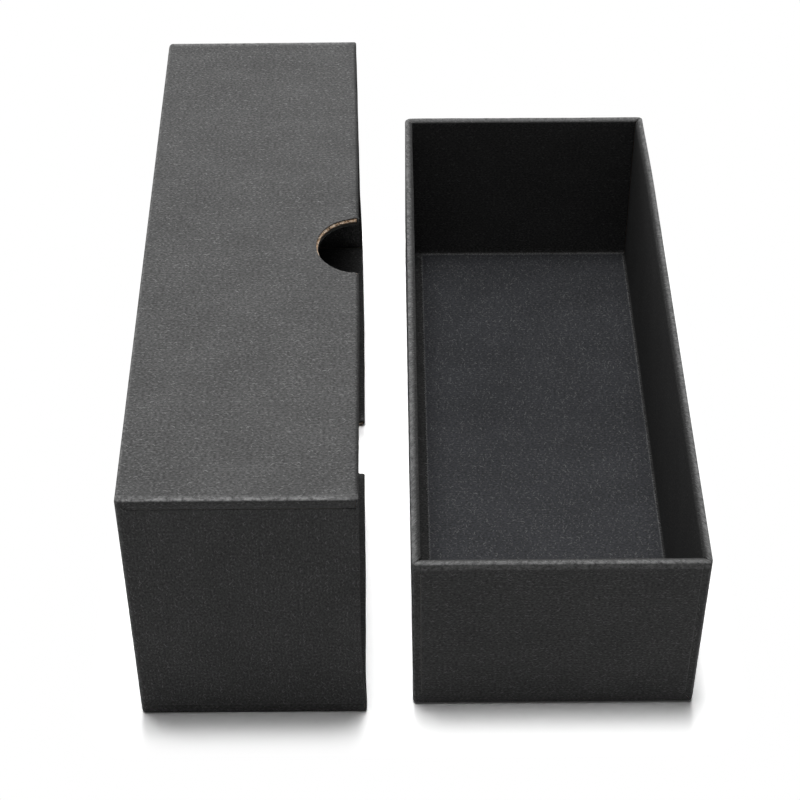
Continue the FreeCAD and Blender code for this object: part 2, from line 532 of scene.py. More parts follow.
def paper_material(name, black, fibre_colour, spread, wear_and_highlight_amount):
    material, tree, shader = new_material(name)
    flat_place = add_node(tree, "ShaderNodeUVMap", {"uv_map": "flat_sheet"}).outputs[0]
    place = vector_math(tree, "SCALE", flat_place, Scale=1 / MILLIMETRE)
    clouds, grain = group_node(tree, cloud_group, Place=place, Cloud_Size=11.0,
                               Grain_Size=0.42, Stretch=1.5)
    (long_mask,) = group_node(tree, fibre_group, Place=place, Cell=1.9, Length=0.60,
                              Width=0.11, Spread=spread, Share=0.35)
    (short_fibres,) = group_node(tree, fibre_group, Place=place, Cell=0.8, Length=0.32,
                                 Width=0.11, Spread=spread * 1.4, Share=0.50, Shift=31.7)
    (wear_and_highlight,) = group_node(tree, wear_and_highlight_group, Place=place, Fold=mesh_number(tree, "fold"),
                         Patch_Size=1.1, Amount=wear_and_highlight_amount)
    shade = mesh_number(tree, "shade")
    cloudy = tint(tree, ramp(tree, clouds, 0.3, 0.7), shaded(black, 0.90), shaded(black, 1.10))
    grain_shade = tint(tree, ramp(tree, grain, 0.28, 0.72), shaded((1, 1, 1), 0.50),
                       shaded((1, 1, 1), 1.50))
    colour = tint(tree, 1.0, cloudy, grain_shade, "MULTIPLY")
    short_mask = short_fibres * 0.8
    # The fibres lighten the paper, and the fold number lightens it as wear and as painted
    # highlight.
    for mask, light in ((short_mask, fibre_colour), (long_mask, fibre_colour),
                        (wear_and_highlight, shaded(fibre_colour, 1.4))):
        colour = tint(tree, mask, colour, light)
    # Painted shade: the lining and the soft bend of the cover's rim are darkened by the mesh's
    # number.
    colour = tint(tree, shade, colour, shaded((1, 1, 1), 0.4), "MULTIPLY")
    connect(colour, shader.inputs["Base Color"])
    add_bump(tree, shader, grain * 0.6 + (short_mask + long_mask), 1.0, 0.00004)
    rough = ramp(tree, grain, 0.0, 1.0, To_Min=0.76, To_Max=0.90)
    connect(rough.calc("ADD", shade * 0.25, clamp=True), shader.inputs["Roughness"])
    shader.inputs["Specular IOR Level"].default_value = 0.2
    return material


wrap_paper = paper_material("wrap_paper", (0.060, 0.060, 0.060, 1),
                            (0.225, 0.225, 0.225, 1), 1.6, 0.70)
# The liner's black is darker than the wrap's, partly as painted shade on the floor inside each
# half.
liner_paper = paper_material("liner_paper", (0.024, 0.025, 0.028, 1),
                             (0.14, 0.14, 0.14, 1), 4.5, 0.55)
print("materials", wrap_paper.name, liner_paper.name)

# %% [markdown]
# ## The grey board and the tape
#
# Grey board is pulp of old paper, pressed in layers. It only shows where the thumb
# notches are cut through it, as a tan edge with brown and pale specks, so the material is
# warm, blotchy and very rough. The tape is thin white gummed paper under the wrap, and
# it isn't seen at all unless the box is taken apart, but it gets its own finish too.

# %% Make the board and tape materials
def object_place(tree):
    """A point's own place on the finished piece, in millimetres."""
    place = add_node(tree, "ShaderNodeTexCoord").outputs["Object"]
    return vector_math(tree, "SCALE", place, Scale=1 / MILLIMETRE)


def pulp_material(name, dark, pale, speck, speck_size):
    material, tree, shader = new_material(name)
    place = object_place(tree)
    blotches = noise(tree, place, 1.3, 5.0, 0.65)
    specks = add_node(tree, "ShaderNodeTexVoronoi", Vector=place, Scale=1 / speck_size)
    base = tint(tree, ramp(tree, blotches, 0.35, 0.65), dark, pale)
    speck_mask = ramp(tree, specks.outputs["Distance"], 0.30, 0.12)
    connect(tint(tree, speck_mask, base, speck), shader.inputs["Base Color"])
    add_bump(tree, shader, blotches, 0.5, 0.0001)
    shader.inputs["Roughness"].default_value = 0.9
    return material


greyboard = pulp_material("pulp_board", (0.30, 0.20, 0.13, 1), (0.50, 0.36, 0.25, 1),
                          (0.16, 0.10, 0.06, 1), 0.7)
stay_tape = pulp_material("gummed_tape", (0.50, 0.47, 0.42, 1), (0.62, 0.60, 0.55, 1),
                          (0.40, 0.36, 0.30, 1), 2.5)
print("materials", greyboard.name, stay_tape.name)

# %% [markdown]
# ## Folding one sheet of paper round the board
#
# Each half is covered by one sheet of paper, and that is how it is made here too, so that
# the folds, the laps and the edge over the rim are one surface with soft bends. It could
# be made from plates with bevelled edges, but then the folds would show as joints.
#
# Every point of the sheet is named by the wall that it belongs to, how far it is along
# that wall, how deep it lies under the outer face, and its height. Past the corner, the
# point runs on round it, as paper does, and the corner itself is softened in plan. The
# cover's corners are crisp in the photograph, the tray's are rounder, and its far left
# one is the roundest.

# %% Find a place on the folded sheet
LONG_WALLS = (0, 2)
END_WALLS = (1, 3)
corner_softness = {"tray": 1.0, "cover": 0.3}
far_left_softness = 1.7


def wall_axes(side):
    """The direction in which a wall faces out, and the one in which it runs."""
    outward = ((1, 0), (0, 1), (-1, 0), (0, -1))[side]
    return np.array(outward, float), np.array((-outward[1], outward[0]), float)


def wall_reach(half, side):
    """How far out a wall stands, and half of its length."""
    reach, extent = half.width / 2, half.length / 2
    return (reach, extent) if side in LONG_WALLS else (extent, reach)


def round_corners(flat, core):
    """Turns the square corners of a plan into quarter circles, outside of its core."""
    nearest = np.clip(flat, -core, core)
    away = flat - nearest
    length = np.maximum(np.linalg.norm(away, axis=-1), 1e-9)
    at_corner = (np.abs(away) > 1e-9).all(-1)
    factor = np.where(at_corner, np.abs(away).max(-1) / length, 1.0)
    return nearest + away * factor[..., None]


def soften_corner(half, flat):
    """Rounds the corners of one half in plan."""
    softness = np.full(flat.shape[:-1], corner_softness[half.name])
    if half is tray:
        softness[(flat[..., 0] < 0) & (flat[..., 1] > 0)] = far_left_softness
    core = np.stack([half.width / 2 - softness, half.length / 2 - softness], -1)
    return round_corners(flat, core)


def wall_point(half, side, along, inset, height, mitre=None):
    """Places points of the sheet. mitre is the inset at which the strip stops narrowing."""
    along, inset, height = np.broadcast_arrays(along, inset, height)
    outward, sideways = wall_axes(side)
    reach, extent = wall_reach(half, side)
    narrowing = inset if mitre is None else np.minimum(inset, mitre)
    beyond = np.maximum(np.abs(along) - extent, 0)
    across = reach - inset - beyond
    share = np.minimum(np.abs(along), extent) / extent
    place = np.sign(along) * share * (extent - narrowing)
    flat = across[..., None] * outward + place[..., None] * sideways
    return np.concatenate([soften_corner(half, flat), height[..., None]], -1)


print("corner of the cover", wall_point(cover, 0, cover.length / 2, 0.0, 10.0).round(3))

# %% [markdown]
# Seen from the end, the sheet follows one profile: round the bottom fold, up the outer
# face, over the rim, down the inside and out onto the floor. The profile is a list of
# rows. Each row holds its inset, its height, the length of paper used so far, and the
# direction in which the paper faces, so that a later step can press it in a little.

# %% Draw the profile of the sheet
bottom_softness = {"tray": 0.9, "cover": 1.1}
rim_outer_softness = {"tray": 0.35, "cover": 1.25}
rim_inner_softness = {"tray": (1.0, 0.45, 0.5, 1.0), "cover": (0.6, 0.6, 0.6, 0.6)}
sharp_rim_softness = 0.4
inner_fold_softness = 0.3


def arc_rows(inset, height, radius, start, end, steps, facing=1):
    """Rows on a quarter circle round one point of the profile."""
    turn = np.radians(np.linspace(start, end, steps + 1))
    return np.stack([inset + radius * np.cos(turn), height + radius * np.sin(turn),
                     facing * np.cos(turn), facing * np.sin(turn)], -1)


def straight_rows(inset, heights, facing):
    heights = np.array(heights, float)
    rows = np.zeros((len(heights), 4))
    rows[:, 0] = inset
    rows[:, 1] = heights
    rows[:, 2] = facing
    return rows


def add_run(rows):
    """Adds the length of paper from the first row to each row."""
    steps = np.linalg.norm(np.diff(rows[:, :2], axis=0), axis=1)
    return np.column_stack([rows, np.concatenate([[0], np.cumsum(steps)])])


def outer_rows(half, softness=None):
    """From the closed panel up to just under the rim."""
    low = bottom_softness[half.name]
    high = half.depth - (softness or rim_outer_softness[half.name]) - 0.2
    near_fold = low + np.array([0.25, 0.6, 1.0, 1.4, 1.9, 2.4, 3.0, 4.5, 7.0])
    near_rim = high - np.array([6.0, 4.4, 3.2, 2.4, 1.8, 1.3, 0.9, 0.5, 0.2, 0.0])
    between = np.linspace(near_fold[-1], near_rim[0], int((half.depth - 16) / 2.2))
    heights = np.concatenate([near_fold, between[1:-1], near_rim])
    return add_run(np.concatenate([arc_rows(low, low, low, -90, -180, 7),
                                   straight_rows(0, heights, -1)]))


def inner_rows(half, side, foot_length, softness=None):
    """From just under the rim, over it, down the inside and out onto the floor."""
    outer = softness or rim_outer_softness[half.name]
    inner = rim_inner_softness[half.name][side]
    start = half.depth - outer - 0.2
    top = half.depth - inner
    flat = np.linspace(outer, wall - inner, 4)[1:-1]
    flat_rows = np.array([(inset, half.depth, 0, 1) for inset in flat])
    fold_top = wall + inner_fold_softness
    lining = top - np.array([0.3, 0.7, 1.3, 2.2, 3.6, 5.5])
    lining = np.concatenate([lining, np.linspace(lining[-1], fold_top + 1, 16)[1:]])
    foot = np.linspace(wall + inner_fold_softness, wall + foot_length, 5)[1:]
    under_liner = [(foot[-1] + 0.04, wall - 0.19, 0, 1), (foot[-1] + 0.6, wall - 0.2, 0, 1)]
    foot_rows = np.array([(inset, wall, 0, 1) for inset in foot] + under_liner)
    return add_run(np.concatenate([
        straight_rows(0, [start], -1),
        arc_rows(outer, half.depth - outer, outer, 180, 90, 7), flat_rows,
        arc_rows(wall - inner, top, inner, 90, 0, 7),
        straight_rows(wall, lining, 1),
        arc_rows(fold_top, fold_top, inner_fold_softness, 180, 270, 4, facing=-1), foot_rows]))


def blend_rows(half, side, along, make_rows):
    """Rows for every column. The cover's rim is sharp at its ends and beyond a notch."""
    rows = make_rows(None)[:, None, :]
    if half is tray:
        return np.broadcast_to(rows, (*along.shape, rows.shape[-1]))
    sharp = make_rows(sharp_rim_softness)[:, None, :]
    share = smooth((np.abs(along) - cover.length / 2 + 2.5) / 2)
    if side == 2:
        share = np.maximum(share, smooth((-along - 4) / 8))
    if side in END_WALLS:
        share = np.ones_like(share)
    return rows + share[..., None] * (sharp - rows)


def end_softness(half):
    """The softness of the rim of an end wall."""
    return sharp_rim_softness if half is cover else None


def smooth(value):
    """A soft step: 0 below 0, 1 above 1."""
    value = np.clip(value, 0, 1)
    return value * value * (3 - 2 * value)


print("rows outside", len(outer_rows(cover)), "rows inside", len(inner_rows(cover, 0, 0.5)))

# %% [markdown]
# The sheet is put together from patches, each a grid of rows and columns: the closed
# panel, the outside of each wall and the strip over each rim. The patches share the points
# where the paper is one piece, and have a hair of a gap where it was cut.
#
# The paper of a long wall goes round the corner as a narrow ear, and the flap of the end
# wall is glued over it. The ear is cut away towards the bottom fold, so that it doesn't
# bulge there. The cut edges are rolled in slightly, which is what makes a seam visible.

# %% Gather patches into one sheet
ear_length = {"tray": 1.6, "cover": 2.5}
seam_gap = 0.22
corner_steps = np.array([0.0, 0.16, 0.33, 0.5, 0.66, 0.85, 1.2, 1.8, 2.8, 4.5, 7.0, 10.0,
                         10.25, 10.5])


class Sheet:
    """A growing list of points, of their places on the flat sheet, and of faces."""

    def __init__(self):
        self.points, self.flat, self.faces, self.count = [], [], [], 0

    def patch(self, points, flat, flipped=False):
        rows, columns = points.shape[:2]
        number = np.arange(rows * columns).reshape(rows, columns) + self.count
        corners = [number[:-1, :-1], number[:-1, 1:], number[1:, 1:], number[1:, :-1]]
        if flipped:
            corners.reverse()
        self.faces.append(np.stack([corner.ravel() for corner in corners], -1))
        self.points.append(points.reshape(-1, 3))
        self.flat.append(flat.reshape(-1, 2))
        self.count += rows * columns

    def make_mesh(self, name):
        points, flat, faces = (np.concatenate(part) for part in (self.points, self.flat,
                                                                 self.faces))
        mesh = bpy.data.meshes.new(name)
        mesh.from_pydata(points.tolist(), [], faces.tolist())
        layer = mesh.uv_layers.new(name="flat_sheet")
        corner_point = np.zeros(len(mesh.loops), np.int32)
        mesh.loops.foreach_get("vertex_index", corner_point)
        layer.data.foreach_set("uv", (flat[corner_point] * MILLIMETRE).ravel())
        edit_mesh(mesh, merge_points)
        return mesh


def edit_mesh(mesh, change):
    """Lets a function change the points and faces of a mesh."""
    work = bmesh.new()
    work.from_mesh(mesh)
    change(work)
    work.to_mesh(mesh)
    work.free()


def merge_points(work, distance=0.002):
    """Makes one point of all that lie in the same place."""
    bmesh.ops.remove_doubles(work, verts=work.verts, dist=distance)
    bmesh.ops.dissolve_degenerate(work, edges=work.edges, dist=distance)


def ear_width(half, height):
    """How far the ear reaches past the corner at each height."""
    return ear_length[half.name] * np.sin(np.pi / 2 * np.clip((height - 0.2) / 3.6, 0, 1))


def crowded(extent, steps, spacing):
    """Places from one end to the other: close together at the ends, even in the middle."""
    near_end = extent - steps
    middle = np.linspace(-near_end[-1], near_end[-1], int(near_end[-1] / spacing))
    return np.concatenate([-near_end, middle[1:-1], near_end[::-1]])


def wall_columns(extent):
    """Places along a wall."""
    return crowded(extent, corner_steps, 1.3)


def on_every_row(columns, rows):
    """The same columns for each row of a patch."""
    return np.broadcast_to(columns, (len(rows), len(columns)))


print("columns along the cover", len(wall_columns(cover.length / 2)))

# %% Lay out the patches of one wrap sheet
def panel_patch(sheet, half):
    low = bottom_softness[half.name]
    x, y = np.meshgrid(*(wall_columns(extent) * (extent - low) / extent
                         for extent in (half.width / 2, half.length / 2)))
    sheet.patch(np.stack([x, y, np.zeros_like(x)], -1), np.stack([x, y], -1), flipped=True)


def flat_place(half, side, along, run):
    """Where a point was on the sheet before it was folded."""
    outward, sideways = wall_axes(side)
    start = wall_reach(half, side)[0] - bottom_softness[half.name]
    along, run = np.broadcast_arrays(along, run)
    return (start + run)[..., None] * outward + along[..., None] * sideways


def long_wall_patch(sheet, half, side):
    """The outside of a long wall, with an ear round each of its corners."""
    heights = outer_rows(half)[:, 1:2]
    extent = wall_reach(half, side)[1]
    full_ear = ear_length[half.name]
    ear_steps = np.array([0.16, 0.33, 0.5, 0.66, 0.85, 1.1, full_ear - 0.35, full_ear - 0.12,
                          full_ear]) / full_ear
    off_fold = smooth((heights - 1.5) / 3)
    under_flap = ear_width(half, heights) + off_fold * np.array([0.1, seam_gap + 0.5])
    ear = np.concatenate([ear_width(half, heights) * ear_steps, under_flap], 1)
    columns = on_every_row(wall_columns(extent), heights)
    along = np.concatenate([-(extent + ear)[:, ::-1], columns, extent + ear], 1)
    rows = blend_rows(half, side, along, lambda softness: outer_rows(half, softness))
    to_edge = extent + ear_width(half, heights) - np.abs(along)
    on_ear = smooth((np.abs(along) - extent) / 0.6)
    sunk = on_ear * off_fold * (0.20 * smooth(1 - to_edge / 1.1) + 0.17 * smooth(-to_edge / 0.1))
    top_row = np.arange(len(heights))[:, None] == len(heights) - 1
    height = rows[..., 1] - 0.08 * on_ear * top_row
    points = wall_point(half, side, along, rows[..., 0] + sunk, height)
    sheet.patch(points, flat_place(half, side, along, rows[..., 4]))


def end_flap_columns(half, rows):
    """Places across an end flap, which is narrower where it clears the ears."""
    fixed = wall_columns(half.width / 2)
    full_edge = half.width / 2 - ear_length[half.name] - seam_gap
    fixed = fixed[np.abs(fixed) < full_edge - 1.0]
    gap = seam_gap * smooth((rows[:, 1] - 0.3) / 1.5)
    edge = half.width / 2 - ear_width(half, rows[:, 1]) - gap
    near_edge = edge[:, None] - np.array([0.0, 0.1, 0.25, 0.5])
    middle = on_every_row(fixed, rows)
    return np.concatenate([-near_edge, middle, near_edge[:, ::-1]], 1), edge[:, None]


def end_wall_patch(sheet, half, side):
    """The outside of an end wall: the flap that is glued over the two ears."""
    rows = outer_rows(half, end_softness(half))
    along, edge = end_flap_columns(half, rows)
    rolled = 0.12 * smooth(1 - (edge - np.abs(along)) / 0.35) * smooth((rows[:, 1:2] - 1) / 2)
    points = wall_point(half, side, along, rows[:, :1] + rolled, rows[:, 1:2])
    sheet.patch(points, flat_place(half, side, along, rows[:, 4:5]))


def feet(half):
    """How far each wall's lining reaches onto the floor, as the CAD liner leaves it."""
    low, high = half.local_box(liner_node[half.name])
    return [half.width / 2 - wall - high[0], half.length / 2 - wall - high[1],
            low[0] + half.width / 2 - wall, low[1] + half.length / 2 - wall]


liner_node = {"tray": "tray_floor_liner", "cover": "cover_top_liner"}
for half in (tray, cover):
    print(half.name, "feet", [round(float(foot), 2) for foot in feet(half)])

# %% [markdown]
# The strip over the rim is cut at 45 degrees at every corner. In the photograph those
# cuts are the small dark or bright diagonals at the corners of the tray. The strip also
# isn't quite level, because paper that was pulled over an edge by hand never is, and a few
# slow waves press it in by up to a tenth of a millimetre.

# %% Lay the strips over the rim and down the inside
mitre_gap = {"tray": 0.07, "cover": 0.05}
rim_wave = 0.045
mitre_roll = 0.07


def slow_waves(first, second, seed, lengths):
    """A few sine waves in random directions, added up, from about -1 to 1."""
    random = np.random.default_rng(seed)
    total = 0
    for length in lengths:
        heading, phase = random.uniform(0, 2 * math.pi, 2)
        place = first * math.cos(heading) + second * math.sin(heading)
        total = total + np.sin(place * 2 * math.pi / length + phase)
    return total / len(lengths)


def rim_patch(sheet, half, side):
    foot_lengths = feet(half)
    softness = end_softness(half) if side in END_WALLS else None
    rows = inner_rows(half, side, foot_lengths[side], softness)
    extent = wall_reach(half, side)[1]
    if side in LONG_WALLS:
        columns = wall_columns(extent)
    else:
        first_row = outer_rows(half, softness)[-1:]
        flap = end_flap_columns(half, first_row)[0][0]
        outside = np.array([0.0, 0.2, 0.4, 0.7, 1.0, 1.3])
        outside = extent - outside[outside < ear_length[half.name] - 0.1]
        columns = np.concatenate([-outside, flap, outside[::-1]])
    columns = on_every_row(columns, rows)
    gap = mitre_gap[half.name] * smooth(rows[:, 4:5] / 0.5)
    if side in END_WALLS:
        gap = np.full_like(gap, mitre_gap[half.name])
    along = np.clip(columns, -(extent - gap), extent - gap)
    over_rim = smooth(rows[:, 4] / 0.6) * smooth((rows[:, 1] - half.depth + 5) / 4)
    wavy = rim_wave * (1 + slow_waves(columns, 0, 40 + side, (9, 17, 31)))
    rolled = mitre_roll * smooth(1 - (extent - gap - np.abs(along)) / 0.35)
    pressed = over_rim[:, None] * (wavy + rolled)
    rows = blend_rows(half, side, along,
                      lambda softness: inner_rows(half, side, foot_lengths[side], softness))
    inset = rows[..., 0] - pressed * rows[..., 2]
    height = rows[..., 1] - pressed * rows[..., 3]
    mitre = wall + min(foot_lengths) if side in LONG_WALLS else None
    points = wall_point(half, side, along, inset, height, mitre)
    run = outer_rows(half)[-1, 4] + rows[..., 4]
    sheet.patch(points, flat_place(half, side, along, run))


def wrap_sheet(half):
    sheet = Sheet()
    panel_patch(sheet, half)
    for side in range(4):
        if side in LONG_WALLS:
            long_wall_patch(sheet, half, side)
        else:
            end_wall_patch(sheet, half, side)
        rim_patch(sheet, half, side)
    return sheet.make_mesh(half.name + "_wrap_sheet")


flat_sheets = {half.name: wrap_sheet(half) for half in (tray, cover)}
for name, mesh in flat_sheets.items():
    print(name, "sheet has", len(mesh.polygons), "faces")

# %% [markdown]
# ## From bench to finished piece
#
# No hand-wrapped box is quite straight, and this one isn't either. Its walls are dented
# by less than a tenth of a millimetre, the paper stands up a little along the rim, the
# edge of the tape inside shows as a faint line, and some edges lie off by a millimetre or
# a little more. Those amounts are read off the photograph, by comparing the outline there
# with the straight CAD model.
#
# One function moves any point of a half in that way. All the layers of a wall go through
# it, so paper, board and lining stay glued together.

# %% Let a half settle out of true
tape_reach = 10.25
tape_step = 0.035
wave_height = 0.08
even_press = 0.05
lip_depth = 0.16
left_foot_in = 0.67
near_foot_out = 0.5
far_rim_in = 0.45
far_mouth_short = 1.15
near_corner_long = 0.4
near_end_back = 0.3
far_panel_in = 0.35


def uneven_walls(half, points):
    """Presses each wall in a little, with waves, under its rim and over the tape."""
    moved = points.copy()
    for side in range(4):
        outward, sideways = wall_axes(side)
        reach, extent = wall_reach(half, side)
        inset = reach - points[:, :2] @ outward
        along = points[:, :2] @ sideways
        height = points[:, 2]
        below_rim = half.depth - height
        outer_share = np.clip(1 - inset / wall, 0, 1)
        off_corner = smooth((extent - 0.9 - np.abs(along)) / 3)
        off_folds = smooth((height - 2) / 5) * smooth((below_rim - 1) / 2)
        waves = wave_height * slow_waves(along, height, 10 + side, (29, 43, 61, 85))
        under_lip = smooth((below_rim - rim_outer_softness[half.name]) / 0.4)
        under_rim = lip_depth * under_lip * (0.3 + 0.7 * smooth(1 - below_rim / 9))
        tape_line = tape_step * smooth((extent - tape_reach - np.abs(along)) / 0.35 + 0.5)
        on_face = off_folds * (waves + even_press + tape_line)
        pressed = outer_share * off_corner * (on_face + under_rim)
        moved[:, :2] -= pressed[:, None] * outward
    return moved


def lean_tray(points):
    """The left wall stands in and the near one out, and the right one leans in far up."""
    x, y, z = points.T
    rise = z / tray.depth
    left = left_foot_in - rise * (0.52 - 0.35 * smooth(0.5 + y / tray.length))
    right = -far_rim_in * smooth((y - 40) / 40) ** 2 * rise
    near = 0.2 * rise - near_foot_out
    share = np.clip(0.5 + x / tray.width, 0, 1)
    moved = points.copy()
    moved[:, 0] += left * (1 - share) + right * share
    moved[:, 1] += near * np.clip(0.5 - y / tray.length, 0, 1)
    return moved


def lean_cover(points):
    """The mouth is shorter at its far end, and longer near the table at the near end.

    The cover's X points down in the scene, and its Z points to the tray.
    """
    x, y, z = points.T
    above_table = cover.width / 2 - x
    rise = above_table / cover.width
    to_far_end = np.clip((y + 40) / 120, 0, 1)
    shorter = far_mouth_short * (0.5 + 0.5 * rise) * to_far_end ** (3.0 - 1.7 * rise)
    low_part = np.clip(1 - above_table / 20, 0, 1)
    longer = 0.2 * smooth((75 - y) / 30) + (0.37 + 0.40 * smooth((-10 - y) / 35)) * low_part
    to_panel = np.clip(1 - z / cover.depth, 0, 1)
    end_share = 0.5 + y / cover.length
    bump = near_corner_long * np.exp(-((y + 82) ** 2 / 40 + (above_table - 3) ** 2 / 16))
    moved = points.copy()
    moved[:, 2] += (longer + bump - shorter) * z / cover.depth
    moved[:, 1] += near_end_back * (1 - end_share) - far_panel_in * to_panel * end_share
    return moved


def settle(half, points):
    points = uneven_walls(half, points)
    return lean_tray(points) if half is tray else lean_cover(points)


probe = np.array([[-tray.width / 2, 70.0, tray.depth]])
print("far left rim of the tray moves by", (settle(tray, probe) - probe).round(2))

# %% [markdown]
# A finished piece is a plain mesh in metres, in its place, on an object that stays at the
# origin.

# %% Helpers that finish a piece
def read_points(mesh, what="co"):
    """The places of the points of a mesh, or their normals."""
    points = np.zeros(len(mesh.vertices) * 3)
    mesh.vertices.foreach_get(what, points)
    return points.reshape(-1, 3)


def write_number(mesh, name, values):
    """Gives each point of a mesh a number that its material can read."""
    mesh.attributes.new(name, "FLOAT", "POINT").data.foreach_set("value", values)


def apply_modifiers(mesh, *modifiers):
    """The mesh after modifiers, each given as its kind and a dictionary of settings."""
    holder = put_in_scene("bench", mesh)
    for kind, settings in modifiers:
        modifier = holder.modifiers.new(kind.lower(), kind)
        for name, value in settings.items():
            setattr(modifier, name, value)
    depsgraph = bpy.context.evaluated_depsgraph_get()
    result = bpy.data.meshes.new_from_object(holder.evaluated_get(depsgraph),
                                             preserve_all_data_layers=True, depsgraph=depsgraph)
    bpy.data.objects.remove(holder)
    return result


def finish_piece(name, half, mesh, material, replaced, sharp_angle=40):
    points = settle(half, read_points(mesh))
    points = np.column_stack([points, np.ones(len(points))]) @ np.array(half.place).T
    mesh.vertices.foreach_set("co", points[:, :3].ravel())
    mesh.name = name
    mesh.materials.clear()
    mesh.materials.append(material)
    mesh.shade_smooth()
    mesh.set_sharp_from_angle(angle=math.radians(sharp_angle))
    mesh.update()
    piece = put_in_scene(name, mesh)
    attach(piece, half.name)
    if replaced:
        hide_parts(*replaced)
    print(name, "has", len(mesh.polygons), "faces")
    return piece


def half_nodes(half, *endings):
    """The CAD nodes of one half whose names end in one of these words."""
    return sorted(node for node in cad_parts
                  if node.startswith(half.name + "_") and node.endswith(endings))


print("wraps of the tray", half_nodes(tray, "_wrap"))

# %% [markdown]
# ## The two wrap sheets
#
# Solidify gives the sheet its quarter of a millimetre, always towards the board, so its
# visible side stays where it was drawn. The thumb notches are punched through the finished
# cover on the real box, and cut with a Boolean here. The cutter is a row of rings whose
# skin is slightly rough, so that the cut edge of the paper isn't a perfect circle.
#
# The punch wasn't set quite in the middle: the upper notch is 0.6 mm nearer to us than it
# should be, and the lower one 0.9 mm further back. It also crushed the outer 0.6 mm of the
# board, so the cutter narrows there, under the paper.

# %% Make the cutter for the thumb notches
notch_radius = 10.0
upper_notch_drift = -0.6
lower_notch_drift = 0.9
cut_slope = 0.4
sloped_depth = 0.6
slope_end = cover.width / 2 - paper - sloped_depth


def rough_cylinder(name, radius, roughness, seed, facets=180):
    """A cutter across the half, round the middle of its rim, narrower inside the walls."""
    random = np.random.default_rng(seed)
    turn = np.linspace(0, 2 * math.pi, facets, endpoint=False)
    slopes = ((60, 0), (cover.width / 2 - paper, 0), (slope_end, cut_slope), (8, cut_slope))
    stations = sorted((side * reach, drift, slope)
                      for side, drift in ((-1, upper_notch_drift), (1, lower_notch_drift))
                      for reach, slope in slopes)
    points, faces = [], []
    for x, drift, slope in stations:
        skin = radius - slope + roughness * random.standard_normal(facets).clip(-1.5, 1.5)
        points.append(np.stack([np.full(facets, float(x)), drift + skin * np.cos(turn),
                                cover.depth + skin * np.sin(turn)], -1))
    for start in range(0, (len(stations) - 1) * facets, facets):
        for facet in range(facets):
            here, following = start + facet, start + (facet + 1) % facets
            faces.append((here, following, following + facets, here + facets))
    last = (len(stations) - 1) * facets
    faces.append(tuple(reversed(range(facets))))
    faces.append(tuple(range(last, last + facets)))
    mesh = bpy.data.meshes.new(name)
    mesh.from_pydata(np.concatenate(points).tolist(), [], faces)
    edit_mesh(mesh, lambda work: bmesh.ops.recalc_face_normals(work, faces=work.faces))
    return mesh


paper_cutter = put_in_scene("paper_cutter",
                            rough_cylinder("paper_cutter", notch_radius, 0.035, 5))
print("cutter has", len(paper_cutter.data.polygons), "faces")

# %% [markdown]
# Two numbers are written into each point of a sheet before it gets its thickness. The
# first, fold, says how much the paper is lightened: on the bends, on the tray's rim and
# beside the cover's corners, which is partly rubbed wear and partly a painted highlight,
# and in a thin line along the mitre at the tray's far left corner, which is a painted
# highlight. The second marks the lining, and the soft outer bend of the cover's rim, with
# painted shade.

# %% Fold the paper round both halves
# How much the rims and the cover's corners are lightened: partly wear, partly painted highlight.
rim_wear_and_highlight = {"tray": 0.8, "cover": 0.0}
corner_wear_and_highlight = {"tray": 0.2, "cover": 1.0}
full_bend_tilt = 0.29
far_lining_painted_shade = 0.1


def mark_folds(half, mesh):
    """Writes the wear and painted highlight, and the painted shade, of the paper at each point.
    """
    tilt = 1 - np.abs(read_points(mesh, "normal")).max(1)
    x, y, z = read_points(mesh).T
    from_side = half.width / 2 - np.abs(x)
    from_end = half.length / 2 - np.abs(y)
    inset = np.minimum(from_side, from_end)
    at_rim = smooth((z - half.depth + 2.5) / 1.0)
    bend = np.clip(tilt / full_bend_tilt, 0, 1) * (inset < 0.6)
    on_rim = rim_wear_and_highlight[half.name] * (0.3 * bend + 0.7 * smooth(1.3 - inset / 1.1))
    beside_corner = corner_wear_and_highlight[half.name] * (from_side < 0.3) * smooth(1 - from_end / 1.8)
    fold = (1 - at_rim) * np.maximum(bend, beside_corner) + at_rim * on_rim
    fold = np.clip(fold, 0, 1)
    of_far_wall = half.length / 2 - y < from_side - 0.01
    lining_start = np.where(of_far_wall, 1.4, 0.8)
    # Painted shade on the lining, much weaker on the far wall.
    shade = smooth((inset - lining_start) / 0.8) * (z > 0.3)
    shade = shade * np.where(of_far_wall, far_lining_painted_shade, 1.0)
    if half is cover:
        # Painted shade on the soft outer bend of the cover's rim.
        on_soft_rim = smooth((z - half.depth + 1.0) / 0.8) * (from_end >= 1.5)
        shade = np.maximum(shade, on_soft_rim)
    else:
        # A thin painted highlight along the mitre of the tray's far left corner.
        from_mitre = np.abs(x + half.width / 2 + y - half.length / 2)
        far_left_mitre_highlight = (x < 0) * (y > 0) * (inset > 0.7) * (inset < 2.1)
        fold = np.maximum(fold, at_rim * far_left_mitre_highlight * smooth(1.2 - from_mitre / 0.4))
    write_number(mesh, "shade", shade)
    write_number(mesh, "fold", fold)


for half in (tray, cover):
    mesh = flat_sheets[half.name]
    mark_folds(half, mesh)
    steps = [("SOLIDIFY", {"thickness": paper, "offset": -1, "use_even_offset": True})]
    if half is cover:
        steps.append(("BOOLEAN", {"operation": "DIFFERENCE", "solver": "EXACT",
                                  "object": paper_cutter}))
    folded = apply_modifiers(mesh, *steps)
    finish_piece(half.name + "_wrap_sheet", half, folded, wrap_paper,
                 half_nodes(half, "_wrap", "_turn_in"))

bpy.data.objects.remove(paper_cutter)

# %% [markdown]
# ## The liners
#
# A loose rectangle of the same kind of paper is dropped on each inner floor and glued. It
# was torn or cut with a blunt knife, because its edges are soft and its corners round. In
# the tray it ends short of the left wall, and its right edge has come up a little, which
# leaves a dark line under it. A flat plate would look printed on, so the liner is a grid
# whose edges are ragged and whose height follows a few slow waves.

# %% Cut the two liners
liner_thickness = 0.2
torn_depth = 0.035
lift_height = 0.3


